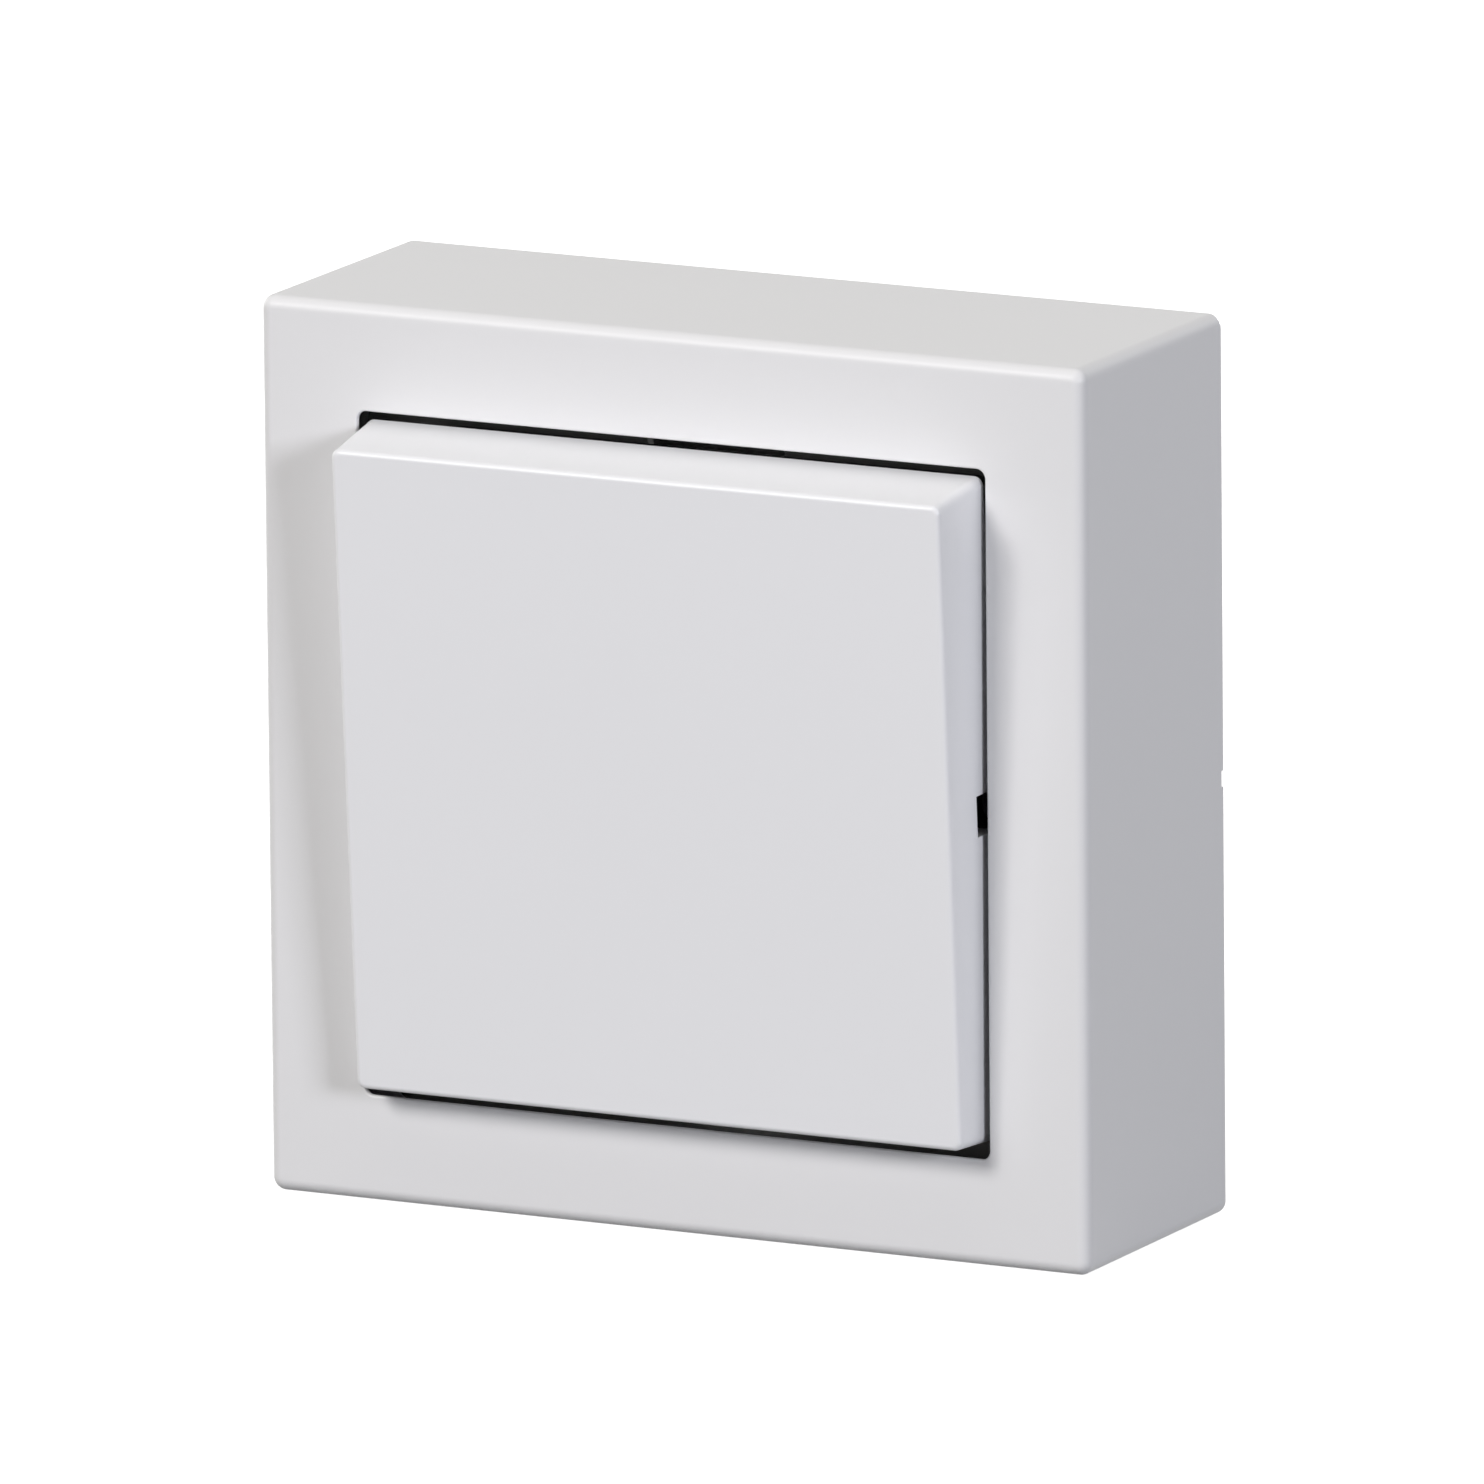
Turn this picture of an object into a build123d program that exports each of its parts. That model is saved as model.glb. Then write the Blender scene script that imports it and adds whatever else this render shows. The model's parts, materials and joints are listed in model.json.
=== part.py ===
from build123d import *
import os
from math import cos, radians, sin, tan

# A square surface-mounted light switch with one large rocker and a two-way mechanism.
# Lengths are in millimetres and angles in degrees. The pieces are built lying on the wall,
# with X to the right, Y up and Z out of the wall, and are stood upright when they are saved.

# Surround: the deep shell around the rocker
box_side = 83.0
box_depth = 28.3
shell_wall = 2.0
front_wall = 1.4
edge_round = 1.2
rear_round = 0.4
inner_round = 1.0
opening_side = 63.3
opening_round = 0.9
lip_round = 0.2
lip_land = 0.5
catch_depth = 0.8
catch_height = 1.4
catch_length = 10.0
knockout_width = 18.0
knockout_height = 11.0
knockout_recess = 1.1
pry_nick_width = 1.5
pry_nick_depth = 0.35
pry_nick_drop = 1.2

# Rocker: the large key that is pressed by hand
rocker_width = 61.2
rocker_height = 59.8
rocker_side_draft = 3.5
rocker_end_draft = 6.05
rocker_skirt = 8.0
rocker_wall = 1.8
rocker_corner = 0.9
rocker_edge_round = 0.5
rocker_rise = 0.2
rocker_tilt = 3.5
rocker_notch_width = 3.8
rocker_notch_reach = 0.45
face_to_pivot = 9.3
pivot_setback = 4.0
leg_width = 6.0
leg_thickness = 1.5
leg_spacing = 13.0
leg_hook = 1.0
leg_hook_height = 1.0
rib_width = 1.2

# Base plate: screwed to the wall inside the surround
base_gap = 0.25
base_thickness = 2.2
base_corner = 1.6
base_chamfer = 0.3
relief_depth = 0.5
relief_border = 1.5
relief_rim = 2.0
rim_wall = 1.4
rim_height = 2.8
hook_width = 12.0
hook_thickness = 1.4
hook_nib = 0.6
hook_nib_height = 1.2
hook_gap = 0.15
wall_slot_pitch = 60.0
wall_slot_width = 4.5
wall_slot_length = 9.0
wall_pad_margin = 3.0
wall_pad_height = 0.8
cable_slot_length = 26.0
cable_slot_width = 16.0
post_radius = 4.0
gusset_reach = 5.0
gusset_height = 8.0
gusset_thickness = 1.2

# Support plate and its fasteners
plate_side = 71.0
plate_thickness = 1.0
plate_corner = 8.0
plate_gap = 0.3
fix_pitch = 60.0
fix_slot_width = 3.4
fix_slot_length = 7.0
access_slot_width = 7.0
access_slot_length = 14.0
screw_radius = 1.25
screw_length = 12.0
screw_head_radius = 3.0
screw_head_height = 2.0
screw_gap = 0.05
recess_width = 0.9
recess_length = 3.4
recess_depth = 1.0
rivet_radius = 1.2
rivet_gap = 0.05
rivet_head_radius = 2.0
rivet_head_height = 0.7
rivet_inset = 3.2

# Insert housing and cover
housing_side = 46.0
housing_depth = 12.0
housing_wall = 2.0
housing_floor = 1.6
housing_corner = 2.0
flange_side = 58.0
flange_thickness = 1.6
flange_corner = 3.0
head_gap = 0.6
cover_thickness = 1.6
cover_opening = 11.0
barrier_offset = 6.4
barrier_thickness = 1.2
barrier_height = 2.0
barrier_length = 17.0

# Bearing of the rocker cradle
trunnion_radius = 2.0
trunnion_gap = 0.05
ear_thickness = 2.6
ear_radius = 3.6
ear_gap = 0.2
cradle_width = 29.0
cradle_depth = 9.2
cradle_drop = 1.4
cradle_gap = 0.7
cradle_rise = 3.7
wing_width = 22.0
wing_length = 28.0
wing_thickness = 2.0
clip_gap = 0.12

# Plunger and its spring
barrel_wall = 1.55
barrel_gap = 2.0
bore_radius = 2.15
bore_cap = 1.5
plunger_clearance = 0.05
plunger_body = 5.0
tip_radius = 1.5
tip_clearance = 0.2
spring_wire = 0.45
spring_turns = 4.0
spring_gap = 0.2

# Contact lever
lever_tilt = 7.5
lever_length = 27.0
lever_width = 6.0
lever_thickness = 0.8
lever_lug = 0.9
lug_width = 4.4
axis_lift = 3.6
bearing_radius = 0.8
bearing_gap = 0.05
neck_depth = 1.0
contact_reach = 11.5
moving_tip_radius = 1.7
moving_tip_height = 1.2
moving_tip_dome = 4.0
fixed_tip_radius = 1.6
contact_clearance = 0.06

# Conductors and push-in clamps
strip_thickness = 0.8
strip_width = 4.8
bar_height = 7.0
terminal_width = 7.0
terminal_reach = 11.3
clamp_thickness = 0.4
clamp_height = 7.5
clamp_bend = 1.2
clamp_span = 5.8
clamp_tip_lift = 2.2
clamp_gap = 0.1
seat_thickness = 1.2
seat_height = 8.0
wire_radius = 1.3
wire_funnel = 0.6
wire_offset = 1.7
button_depth = 1.6
button_width = 1.8
button_offset = 1.9
button_gap = 0.1
button_stand = 1.0
button_flange = 0.7
button_flange_lip = 0.9
button_lift = 0.3

# Places along Z, worked out from the front of the surround towards the wall
pivot_z = box_depth - pivot_setback
cover_top = pivot_z - cradle_drop - cradle_gap
flange_top = cover_top - cover_thickness
plate_top = flange_top - flange_thickness
plate_rear = plate_top - plate_thickness
housing_rear = plate_top - housing_depth
floor_top = housing_rear + housing_floor
strip_top = floor_top + strip_thickness
lever_axis = floor_top + axis_lift
lever_face = lever_lug + lever_thickness
barrel_end = lever_axis + lever_face + barrel_gap
bore_end = pivot_z + cradle_rise - bore_cap
plunger_tip = lever_axis + lever_face + tip_clearance
plunger_rear = plunger_tip + tip_radius + plunger_body
rocker_face = pivot_z + face_to_pivot
rocker_rear = rocker_face - rocker_skirt
rocker_inside = rocker_face - rocker_wall
wing_top = pivot_z + cradle_rise
wing_rear = wing_top - wing_thickness

# Places across the wall
base_side = box_side - 2 * (shell_wall + base_gap)
inner_side = box_side - 2 * shell_wall
catch_rear = base_thickness + catch_height
hook_face = inner_side / 2 - catch_depth - hook_gap
rivet_pitch = flange_side - 2 * rivet_inset
ear_inner = cradle_width / 2 + ear_gap
ear_outer = ear_inner + ear_thickness
tip_centre = moving_tip_dome + lever_lug - moving_tip_height
contact_y = contact_reach * cos(radians(lever_tilt)) + tip_centre * sin(radians(lever_tilt))
closed_drop = contact_reach * sin(radians(lever_tilt)) - tip_centre * cos(radians(lever_tilt))
fixed_tip_top = lever_axis - closed_drop - moving_tip_dome - contact_clearance
cheek_outer = lever_width / 2
cheek_inner = cheek_outer - lever_thickness


def slab(width, height, z0, z1, corner=0.0):
    """Return a flat block between two heights, with rounded corners if a radius is given."""
    outline = RectangleRounded(width, height, corner) if corner else Rectangle(width, height)
    return Pos(0, 0, z0) * extrude(outline, z1 - z0)


def block(x0, x1, y0, y1, z0, z1):
    """Return a box given by its limits along the three axes."""
    centre = Pos((x0 + x1) / 2, (y0 + y1) / 2, (z0 + z1) / 2)
    return centre * Box(x1 - x0, y1 - y0, z1 - z0)


def rod(radius, z0, z1):
    """Return a round rod along Z between two heights."""
    return Pos(0, 0, (z0 + z1) / 2) * Cylinder(radius, z1 - z0)


def cross_rod(radius, x0, x1, z):
    """Return a round rod along X at height z."""
    return Pos((x0 + x1) / 2, 0, z) * Rot(0, 90, 0) * Cylinder(radius, x1 - x0)


def slot_cut(length, width, z0, z1, angle=0.0, mouth=0.0):
    """Return the body of a round-ended slot that runs along X, or turned by an angle.

    mouth is how far the slot flares at its rear end.
    """
    body = Pos(0, 0, z0) * extrude(SlotOverall(length, width, rotation=angle), z1 - z0)
    if mouth:
        flare = SlotOverall(length + 2 * mouth, width + 2 * mouth, rotation=angle)
        body += Pos(0, 0, z0) * extrude(flare, mouth, taper=45)
    return body


def taper(size, draft, inset, z0, z1):
    """Return a bar along Y whose two sides lean in towards the front.

    size is the rocker's width at its face, draft the lean of its sides, and inset the distance
    that the bar's sides lie inside the rocker's.
    """
    slope = tan(radians(draft))
    rear_x = size / 2 - inset + (rocker_face - z0) * slope
    front_x = size / 2 - inset + (rocker_face - z1) * slope
    outline = Polygon((-rear_x, z0), (rear_x, z0), (front_x, z1), (-front_x, z1), align=None)
    return extrude(Plane.XZ * outline, size, both=True)


def key_block(inset, z0, z1):
    """Return the rocker's plain form, whose ends lean in more than its sides to clear the opening."""
    sides = taper(rocker_width, rocker_side_draft, inset, z0, z1)
    ends = taper(rocker_height, rocker_end_draft, inset, z0, z1)
    return sides & Rot(0, 0, 90) * ends


def tilted(shape, angle, height):
    """Turn a piece about the X axis at a given height above the wall."""
    return Pos(0, 0, height) * Rot(angle, 0, 0) * Pos(0, 0, -height) * shape


def make_surround():
    """Deep one-piece shell with the square front opening, whose edge is relieved from behind."""
    body = slab(box_side, box_side, 0, box_depth)
    front_edges = body.faces().sort_by(Axis.Z)[-1].edges()
    body = fillet(front_edges + body.edges().filter_by(Axis.Z), edge_round)
    body = fillet(body.faces().sort_by(Axis.Z)[0].edges(), rear_round)
    body -= slab(inner_side, inner_side, 0, box_depth - front_wall, inner_round)
    body -= slab(opening_side, opening_side, 0, box_depth, opening_round)
    relief = front_wall - lip_land
    relief_side = opening_side + 2 * relief
    relief_outline = RectangleRounded(relief_side, relief_side, opening_round + relief)
    body -= Pos(0, 0, box_depth - front_wall) * extrude(relief_outline, relief, taper=45)
    lip = body.faces().sort_by(Axis.Z)[-1].inner_wires()[0].edges()
    body = fillet(lip, lip_round)
    recess_face = inner_side / 2 + knockout_recess
    for side in (-1, 1):
        wall_x = side * inner_side / 2
        catch = block(-catch_depth, shell_wall / 2, -catch_length / 2, catch_length / 2,
                      base_thickness + hook_gap, catch_rear + hook_gap)
        body += Pos(wall_x, 0, 0) * (catch if side > 0 else mirror(catch, Plane.YZ))
        nick = Box(4 * shell_wall, pry_nick_width, 2 * pry_nick_depth)
        body -= Pos(side * box_side / 2, -pry_nick_drop, 0) * nick
        knockout = block(-knockout_width / 2, knockout_width / 2, 0, recess_face,
                         base_thickness + rim_height, base_thickness + rim_height + knockout_height)
        body -= knockout if side > 0 else mirror(knockout, Plane.XZ)
    return body


def make_rocker():
    """Hollow key with tapered skirts, clip legs and a pry notch on either side."""
    body = key_block(0, rocker_rear, rocker_face)
    face_edges = body.faces().sort_by(Axis.Z)[-1].edges()
    rear_edges = body.faces().sort_by(Axis.Z)[0].edges()
    body = fillet(body.edges() - face_edges - rear_edges, rocker_corner)
    body = fillet(body.faces().sort_by(Axis.Z)[-1].edges(), rocker_edge_round)
    body -= key_block(rocker_wall, rocker_rear - rocker_wall, rocker_inside)
    notch_front = box_depth + rocker_notch_reach
    for side in (-1, 1):
        notch = block(-2 * rocker_wall, 2 * rocker_wall, -rocker_notch_width / 2,
                      rocker_notch_width / 2, rocker_rear - rocker_wall, notch_front)
        body -= Pos(side * rocker_width / 2, 0, 0) * notch
    body = Pos(0, rocker_rise, 0) * body
    leg_inner = wing_length / 2 + clip_gap
    hook_front = wing_rear - clip_gap
    for end in (-1, 1):
        for side in (-1, 1):
            leg = block(-leg_width / 2, leg_width / 2, leg_inner, leg_inner + leg_thickness,
                        hook_front - leg_hook_height, rocker_inside)
            leg += block(-leg_width / 2, leg_width / 2, wing_length / 2 - leg_hook,
                         leg_inner + leg_thickness, hook_front - leg_hook_height, hook_front)
            leg = leg if end > 0 else mirror(leg, Plane.XZ)
            body += Pos(side * leg_spacing / 2, 0, 0) * leg
    for side in (-1, 1):
        rib_x = side * (leg_spacing / 2 + leg_width / 2)
        body += block(rib_x - rib_width / 2, rib_x + rib_width / 2, -wing_length / 2 + leg_hook,
                      wing_length / 2 - leg_hook, wing_top + clip_gap, rocker_inside)
    return tilted(body, rocker_tilt, pivot_z)


def base_relief():
    """Return the shallow hollow in the rear of the base plate, with a rim round each opening."""
    side = base_side - 2 * relief_border
    hollow = slab(side, side, 0, relief_depth, base_corner)
    hollow -= slot_cut(cable_slot_length + 2 * relief_rim, cable_slot_width + 2 * relief_rim,
                       0, relief_depth)
    for end in (-1, 1):
        wall_rim = slot_cut(wall_slot_length + 2 * relief_rim, wall_slot_width + 2 * relief_rim,
                            0, relief_depth, 90)
        hollow -= Pos(0, end * wall_slot_pitch / 2, 0) * wall_rim
        hollow -= Pos(end * fix_pitch / 2, 0, 0) * rod(post_radius, 0, relief_depth)
    return hollow


def make_base_plate():
    """Wall plate with rim, wall slots, cable opening, screw posts and snap hooks."""
    rim_top = base_thickness + rim_height
    body = slab(base_side, base_side, 0, rim_top, base_corner)
    body = chamfer(body.faces().sort_by(Axis.Z)[0].edges(), base_chamfer)
    pocket = base_side - 2 * rim_wall
    body -= slab(pocket, pocket, base_thickness, rim_top, base_corner)
    for end in (-1, 1):
        pad = slot_cut(wall_slot_length + 2 * wall_pad_margin, wall_slot_width + 2 * wall_pad_margin,
                       0, base_thickness + wall_pad_height, 90)
        hole = slot_cut(wall_slot_length, wall_slot_width, 0, rim_top, 90, base_chamfer)
        body += Pos(0, end * wall_slot_pitch / 2, 0) * pad
        body -= Pos(0, end * wall_slot_pitch / 2, 0) * hole
    body -= slot_cut(cable_slot_length, cable_slot_width, 0, rim_top, 0, base_chamfer)
    nib_rear = catch_rear + 2 * hook_gap
    nib_front = nib_rear + hook_nib_height
    for side in (-1, 1):
        gap = block(hook_face - hook_thickness, base_side / 2 + base_gap, -hook_width / 2 - rim_wall,
                    hook_width / 2 + rim_wall, base_thickness, rim_top)
        tongue = block(hook_face - hook_thickness, hook_face, -hook_width / 2, hook_width / 2,
                       0, nib_front + hook_nib)
        nib = block(hook_face - hook_thickness, hook_face + hook_nib, -catch_length / 2,
                    catch_length / 2, nib_rear, nib_front)
        nib = chamfer(nib.edges().filter_by(Axis.Y).group_by(Axis.X)[-1].sort_by(Axis.Z)[-1],
                      0.8 * hook_nib)
        hook = tongue + nib
        body -= gap if side > 0 else mirror(gap, Plane.YZ)
        body += hook if side > 0 else mirror(hook, Plane.YZ)
        post = rod(post_radius, 0, plate_rear)
        post += block(-gusset_thickness / 2, gusset_thickness / 2, -post_radius - gusset_reach,
                      post_radius + gusset_reach, 0, base_thickness + gusset_height)
        pilot = rod(screw_radius + screw_gap, plate_top - screw_length - screw_gap, plate_rear)
        body += Pos(side * fix_pitch / 2, 0, 0) * post
        body -= Pos(side * fix_pitch / 2, 0, 0) * pilot
    return body - base_relief()


def make_support_plate():
    """Steel plate that carries the insert on the two posts."""
    hole_side = housing_side + 2 * plate_gap
    body = slab(plate_side, plate_side, plate_rear, plate_top, plate_corner)
    body -= slab(hole_side, hole_side, plate_rear, plate_top, housing_corner)
    for side in (-1, 1):
        screw_slot = slot_cut(fix_slot_length, fix_slot_width, plate_rear, plate_top, 90)
        access_slot = slot_cut(access_slot_length, access_slot_width, plate_rear, plate_top)
        body -= Pos(side * fix_pitch / 2, 0, 0) * screw_slot
        body -= Pos(0, side * wall_slot_pitch / 2, 0) * access_slot
    for spot in GridLocations(rivet_pitch, rivet_pitch, 2, 2):
        body -= spot * rod(rivet_radius + rivet_gap, plate_rear, plate_top)
    return body


def make_insert_screws():
    """Two pan-head screws that hold the support plate on the posts."""
    head_top = plate_top + screw_head_height
    head = rod(screw_head_radius, plate_top, head_top)
    head = fillet(head.faces().sort_by(Axis.Z)[-1].edges(), screw_head_height / 3)
    recess = Box(recess_length, recess_width, 2 * recess_depth)
    recess += Box(recess_width, recess_length, 2 * recess_depth)
    screw = head - Pos(0, 0, head_top) * recess
    screw += rod(screw_radius, plate_top - screw_length, plate_top)
    return Compound([Pos(side * fix_pitch / 2, 0, 0) * screw for side in (-1, 1)])


def make_insert_rivets():
    """Four rivets that clamp cover, housing flange and support plate together."""
    rivet = rod(rivet_radius, plate_rear, cover_top)
    front_head = rod(rivet_head_radius, cover_top, cover_top + rivet_head_height)
    rear_head = rod(rivet_head_radius, plate_rear - rivet_head_height, plate_rear)
    rivet += fillet(front_head.faces().sort_by(Axis.Z)[-1].edges(), rivet_head_height / 2)
    rivet += fillet(rear_head.faces().sort_by(Axis.Z)[0].edges(), rivet_head_height / 2)
    return Compound([spot * rivet for spot in GridLocations(rivet_pitch, rivet_pitch, 2, 2)])


def terminal_places():
    """Return each terminal's name, its side of the insert and its place along Y."""
    return [("common", -1, 0.0), ("upper", 1, contact_y), ("lower", 1, -contact_y)]


def at_terminal(shape, side, y):
    """Move a piece built beside the right-hand conductor bar to one terminal."""
    moved = Pos(terminal_reach, 0, 0) * shape
    return Pos(0, y, 0) * (moved if side > 0 else mirror(moved, Plane.YZ))


def make_insert_housing():
    """Moulded pot with a flange, clamp seats, barriers and wire holes."""
    cavity_side = housing_side - 2 * housing_wall
    body = slab(housing_side, housing_side, housing_rear, flange_top, housing_corner)
    body += slab(flange_side, flange_side, plate_top, flange_top, flange_corner)
    body -= slab(cavity_side, cavity_side, floor_top, flange_top, housing_wall / 2)
    for end in (-1, 1):
        body += Pos(0, end * barrier_offset, 0) * slab(
            barrier_length, barrier_thickness, housing_rear, floor_top + barrier_height)
        body -= Pos(end * fix_pitch / 2, 0, 0) * rod(screw_head_radius + head_gap, plate_top, flange_top)
    seat_x = clamp_span + clamp_gap
    half = terminal_width / 2
    for name, side, y in terminal_places():
        seat = block(seat_x, seat_x + seat_thickness, -half, half, housing_rear, floor_top + seat_height)
        hole_x = clamp_gap + wire_radius
        hole = Pos(hole_x, wire_offset, 0) * rod(wire_radius, housing_rear, floor_top)
        hole += Pos(hole_x, wire_offset, housing_rear) * Cone(
            wire_radius + wire_funnel, wire_radius, wire_funnel, align=(Align.CENTER, Align.CENTER, Align.MIN))
        slot = block(0, button_depth + 2 * button_gap, -button_offset - button_width / 2 - button_gap,
                     -button_offset + button_width / 2 + button_gap, housing_rear, floor_top)
        body += at_terminal(seat, side, y)
        body -= at_terminal(hole, side, y)
        body -= at_terminal(slot, side, y)
    for spot in GridLocations(rivet_pitch, rivet_pitch, 2, 2):
        body -= spot * rod(rivet_radius + rivet_gap, plate_top, flange_top)
    return body


def make_insert_cover():
    """Moulded cover with the two ears that the cradle turns in."""
    body = slab(flange_side, flange_side, flange_top, cover_top, flange_corner)
    body -= slab(cover_opening, cover_opening, flange_top, cover_top, housing_corner)
    for side in (-1, 1):
        ear = block(ear_inner, ear_outer, -ear_radius, ear_radius, flange_top, pivot_z)
        ear += cross_rod(ear_radius, ear_inner, ear_outer, pivot_z)
        ear -= cross_rod(trunnion_radius + trunnion_gap, ear_inner, ear_outer, pivot_z)
        body += ear if side > 0 else mirror(ear, Plane.YZ)
        body -= Pos(side * fix_pitch / 2, 0, 0) * rod(screw_head_radius + head_gap, flange_top, cover_top)
    for spot in GridLocations(rivet_pitch, rivet_pitch, 2, 2):
        body -= spot * rod(rivet_radius + rivet_gap, flange_top, cover_top)
    return body


def make_rocker_cradle():
    """Bridge on two trunnions, with wings for the rocker and the plunger barrel."""
    body = slab(cradle_width, cradle_depth, pivot_z - cradle_drop, wing_rear)
    body += slab(wing_width, wing_length, wing_rear, wing_top)
    body += rod(bore_radius + barrel_wall, barrel_end, wing_rear)
    body += cross_rod(trunnion_radius, -ear_outer, ear_outer, pivot_z)
    body -= rod(bore_radius, barrel_end, bore_end)
    return tilted(body, rocker_tilt, pivot_z)


def make_plunger():
    """Round-ended pin that presses on the contact lever."""
    body = rod(bore_radius - plunger_clearance, plunger_rear - plunger_body, plunger_rear)
    body += rod(tip_radius, plunger_tip + tip_radius, plunger_rear - plunger_body / 2)
    body += Pos(0, 0, plunger_tip + tip_radius) * Sphere(tip_radius)
    return tilted(body, rocker_tilt, pivot_z)


def make_plunger_spring():
    """Compression spring between the plunger and the end of the bore."""
    coil_radius = bore_radius - spring_gap - spring_wire / 2
    start = plunger_rear + spring_wire / 2
    height = bore_end - spring_wire / 2 - start
    path = Helix(height / spring_turns, height, coil_radius, center=(0, 0, start))
    section = Plane(path @ 0, z_dir=path % 0) * Circle(spring_wire / 2)
    coil = sweep(section, path, is_frenet=True)
    return tilted(coil, rocker_tilt, pivot_z)


def make_contact_lever():
    """Rocking contact strip with two notched lugs that sit on the cheeks."""
    rear = lever_axis + lever_lug
    body = slab(lever_width, lever_length, rear, lever_axis + lever_face)
    for x0 in (-cheek_outer, cheek_inner):
        body += block(x0, x0 + lever_thickness, -lug_width / 2, lug_width / 2, lever_axis, rear)
    body -= cross_rod(bearing_radius + bearing_gap, -lever_width, lever_width, lever_axis)
    return tilted(body, -lever_tilt, lever_axis)


def make_moving_tips():
    """Two domed silver tips under the ends of the lever."""
    rear = lever_axis + lever_lug
    dome = Pos(0, 0, rear - moving_tip_height + moving_tip_dome) * Sphere(moving_tip_dome)
    tip = rod(moving_tip_radius, rear - moving_tip_height, rear) & dome
    tips = [tilted(Pos(0, end * contact_reach, 0) * tip, -lever_tilt, lever_axis) for end in (-1, 1)]
    return Compound(tips)


def make_common_terminal():
    """Conductor with two rounded cheeks that carry the lever, and the common bar."""
    half = strip_width / 2
    body = block(-terminal_reach, cheek_outer, -half, half, floor_top, strip_top)
    body += block(-terminal_reach, -terminal_reach + strip_thickness, -terminal_width / 2,
                  terminal_width / 2, floor_top, floor_top + bar_height)
    for x0 in (-cheek_outer, cheek_inner):
        x1 = x0 + lever_thickness
        body += block(x0, x1, -half, half, floor_top, lever_axis - bearing_radius - neck_depth)
        body += block(x0, x1, -bearing_radius, bearing_radius, floor_top, lever_axis)
        body += cross_rod(bearing_radius, x0, x1, lever_axis)
    return body


def make_fixed_contact(end):
    """Conductor under one end of the lever, with its terminal bar."""
    half = strip_width / 2
    body = block(-half, terminal_reach, -half, half, floor_top, strip_top)
    body += block(terminal_reach - strip_thickness, terminal_reach, -terminal_width / 2,
                  terminal_width / 2, floor_top, floor_top + bar_height)
    return Pos(0, end * contact_y, 0) * body


def make_fixed_tips():
    """Two flat silver tips on the fixed contacts."""
    tip = rod(fixed_tip_radius, strip_top, fixed_tip_top)
    return Compound([Pos(0, end * contact_y, 0) * tip for end in (-1, 1)])


def make_clamp(side, y):
    """Bent leaf spring that presses a wire against the terminal bar."""
    bend_z = floor_top + clamp_height
    outer = clamp_bend + clamp_thickness
    bend_x = clamp_span - outer
    tip_z = floor_top + clamp_tip_lift
    arc = Pos(bend_x, bend_z) * (Circle(outer) - Circle(clamp_bend))
    arc &= Pos(bend_x, bend_z + outer) * Rectangle(2 * outer, 2 * outer)
    back_leg = Polygon((clamp_span - clamp_thickness, floor_top), (clamp_span, floor_top),
                       (clamp_span, bend_z), (clamp_span - clamp_thickness, bend_z), align=None)
    front_leg = Polygon((clamp_gap, tip_z), (clamp_gap + clamp_thickness, tip_z),
                        (bend_x - clamp_bend, bend_z), (bend_x - outer, bend_z), align=None)
    profile = Plane.XZ * (arc + back_leg + front_leg)
    return at_terminal(extrude(profile, terminal_width / 2, both=True), side, y)


def make_release(side, y):
    """Button on the back of the insert that lifts one clamp off its wire."""
    x0 = button_gap
    x1 = x0 + button_depth
    y0 = -button_offset - button_width / 2
    y1 = -button_offset + button_width / 2
    tip = floor_top + clamp_tip_lift - button_lift
    stem = block(x0, x1, y0, y1, housing_rear - button_stand, tip)
    stop = block(x0, x1 + button_flange_lip, y0, y1, floor_top, floor_top + button_flange)
    return at_terminal(stem + stop, side, y)


def save(node, shape):
    """Stand a piece upright, with Z up and its front towards -Y, and write it."""
    export_step(Rot(90, 0, 0) * shape, f"parts/{node}.step")


os.makedirs("parts", exist_ok=True)
save("surround", make_surround())
save("rocker", make_rocker())
save("base_plate", make_base_plate())
save("support_plate", make_support_plate())
save("insert_screws", make_insert_screws())
save("insert_rivets", make_insert_rivets())
save("insert_housing", make_insert_housing())
save("insert_cover", make_insert_cover())
save("rocker_cradle", make_rocker_cradle())
save("plunger", make_plunger())
save("plunger_spring", make_plunger_spring())
save("contact_lever", make_contact_lever())
save("moving_tips", make_moving_tips())
save("common_terminal", make_common_terminal())
save("upper_contact", make_fixed_contact(1))
save("lower_contact", make_fixed_contact(-1))
save("fixed_tips", make_fixed_tips())
for terminal, terminal_side, terminal_y in terminal_places():
    save(f"{terminal}_clamp", make_clamp(terminal_side, terminal_y))
    save(f"{terminal}_release", make_release(terminal_side, terminal_y))
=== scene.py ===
"""Look of a square surface-mounted rocker light switch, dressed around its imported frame.

The white surround, the rocker and the springs of the insert are new smooth surfaces. The wall
plate and the rest of the mechanism keep their solids and get finishes of their own. Lengths are
in millimetres in the classes of the pieces, and are turned into metres when a mesh is made. The
stage is in metres.
"""

from __future__ import annotations

import json
import logging
import math
from dataclasses import dataclass, field
from enum import Enum

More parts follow.
